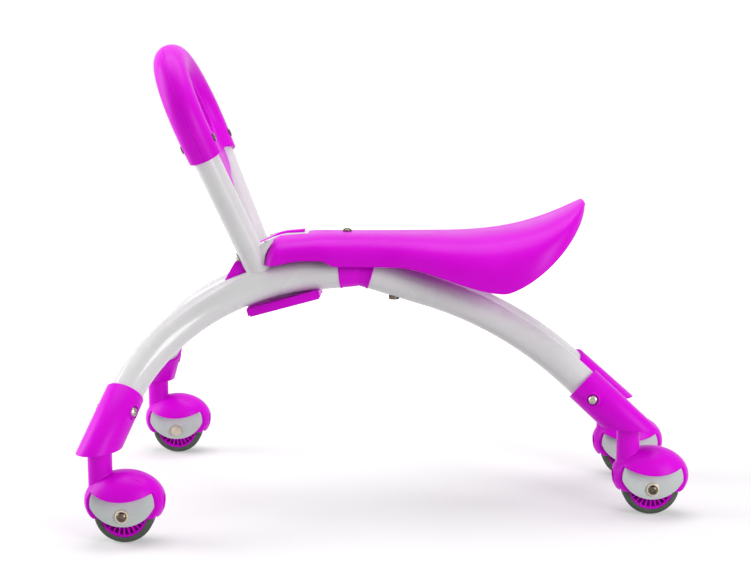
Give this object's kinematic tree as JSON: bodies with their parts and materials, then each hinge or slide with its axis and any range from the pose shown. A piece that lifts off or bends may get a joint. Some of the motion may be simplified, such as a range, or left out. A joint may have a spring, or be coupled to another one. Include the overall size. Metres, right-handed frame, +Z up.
{
  "type": "four-caster foot-to-floor ride-on",
  "caption": "Foot-to-floor ride-on for a toddler: arched tube frame, moulded saddle, loop handlebar and swivel casters in domed housings.",
  "frame": {"origin": "on the ground plane, on the plane of symmetry, midway between the front and the rear wheel axles", "axes": "+Z up, +X towards the rear (the direction in which the casters trail), +Y to the rider's right; left is -Y"},
  "size_m": [0.5394, 0.333, 0.4257],
  "materials": {
    "white_paint": "gloss powder coat on steel tube",
    "white_plastic": "satin gloss moulding",
    "purple_plastic": "satin gloss injection moulding",
    "pale_plastic": "fine matte moulding",
    "dark_plastic": "plain acetal",
    "steel": "zinc plated",
    "tyre_rubber": "matte soft polyurethane"
  },
  "bodies": {
    "frame": {"front_tube_left": "white_paint", "front_tube_right": "white_paint", "rear_tube_left": "white_paint", "rear_tube_right": "white_paint", "middle_joint": "purple_plastic", "front_socket_left": "purple_plastic", "front_socket_right": "purple_plastic", "rear_socket_left": "purple_plastic", "rear_socket_right": "purple_plastic", "swivel_bushes": "dark_plastic", "socket_screws": "steel", "socket_nuts": "steel", "cradle": "purple_plastic", "clamp_plate": "purple_plastic", "clamp_bolts": "steel", "clamp_nuts": "steel", "handle_tube": "white_paint", "handle_bracket": "white_plastic", "foot_bolts": "steel", "foot_nuts": "steel", "grip_front": "purple_plastic", "grip_rear": "purple_plastic", "grip_screws": "steel", "saddle": "purple_plastic", "saddle_core": "purple_plastic", "nose_cover": "purple_plastic", "seat_screws": "steel", "under_screws": "steel"},
    "caster_fl": {"caster_fl_housing": "purple_plastic", "caster_fl_plates": "pale_plastic", "caster_fl_pin": "steel", "caster_fl_axle": "steel", "caster_fl_nut": "steel"},
    "wheel_fl": {"wheel_fl_hub": "purple_plastic", "wheel_fl_tyre": "tyre_rubber"},
    "caster_fr": {"caster_fr_housing": "purple_plastic", "caster_fr_plates": "pale_plastic", "caster_fr_pin": "steel", "caster_fr_axle": "steel", "caster_fr_nut": "steel"},
    "wheel_fr": {"wheel_fr_hub": "purple_plastic", "wheel_fr_tyre": "tyre_rubber"},
    "caster_rl": {"caster_rl_housing": "purple_plastic", "caster_rl_plates": "pale_plastic", "caster_rl_pin": "steel", "caster_rl_axle": "steel", "caster_rl_nut": "steel"},
    "wheel_rl": {"wheel_rl_hub": "purple_plastic", "wheel_rl_tyre": "tyre_rubber"},
    "caster_rr": {"caster_rr_housing": "purple_plastic", "caster_rr_plates": "pale_plastic", "caster_rr_pin": "steel", "caster_rr_axle": "steel", "caster_rr_nut": "steel"},
    "wheel_rr": {"wheel_rr_hub": "purple_plastic", "wheel_rr_tyre": "tyre_rubber"}
  },
  "joints": [
    {"name": "swivel_fl", "type": "hinge", "parent": "frame", "child": "caster_fl", "pos_m": [-0.2537, -0.1405, 0.0805], "axis": [0, 0, 1], "continuous": true},
    {"name": "spin_fl", "type": "hinge", "parent": "caster_fl", "child": "wheel_fl", "pos_m": [-0.233, -0.1405, 0.026], "axis": [0, 1, 0], "continuous": true},
    {"name": "swivel_fr", "type": "hinge", "parent": "frame", "child": "caster_fr", "pos_m": [-0.2537, 0.1405, 0.0805], "axis": [0, 0, 1], "continuous": true},
    {"name": "spin_fr", "type": "hinge", "parent": "caster_fr", "child": "wheel_fr", "pos_m": [-0.233, 0.1405, 0.026], "axis": [0, 1, 0], "continuous": true},
    {"name": "swivel_rl", "type": "hinge", "parent": "frame", "child": "caster_rl", "pos_m": [0.2123, -0.0585, 0.0805], "axis": [0, 0, 1], "continuous": true},
    {"name": "spin_rl", "type": "hinge", "parent": "caster_rl", "child": "wheel_rl", "pos_m": [0.233, -0.0585, 0.026], "axis": [0, 1, 0], "continuous": true},
    {"name": "swivel_rr", "type": "hinge", "parent": "frame", "child": "caster_rr", "pos_m": [0.2123, 0.0585, 0.0805], "axis": [0, 0, 1], "continuous": true},
    {"name": "spin_rr", "type": "hinge", "parent": "caster_rr", "child": "wheel_rr", "pos_m": [0.233, 0.0585, 0.026], "axis": [0, 1, 0], "continuous": true}
  ]
}
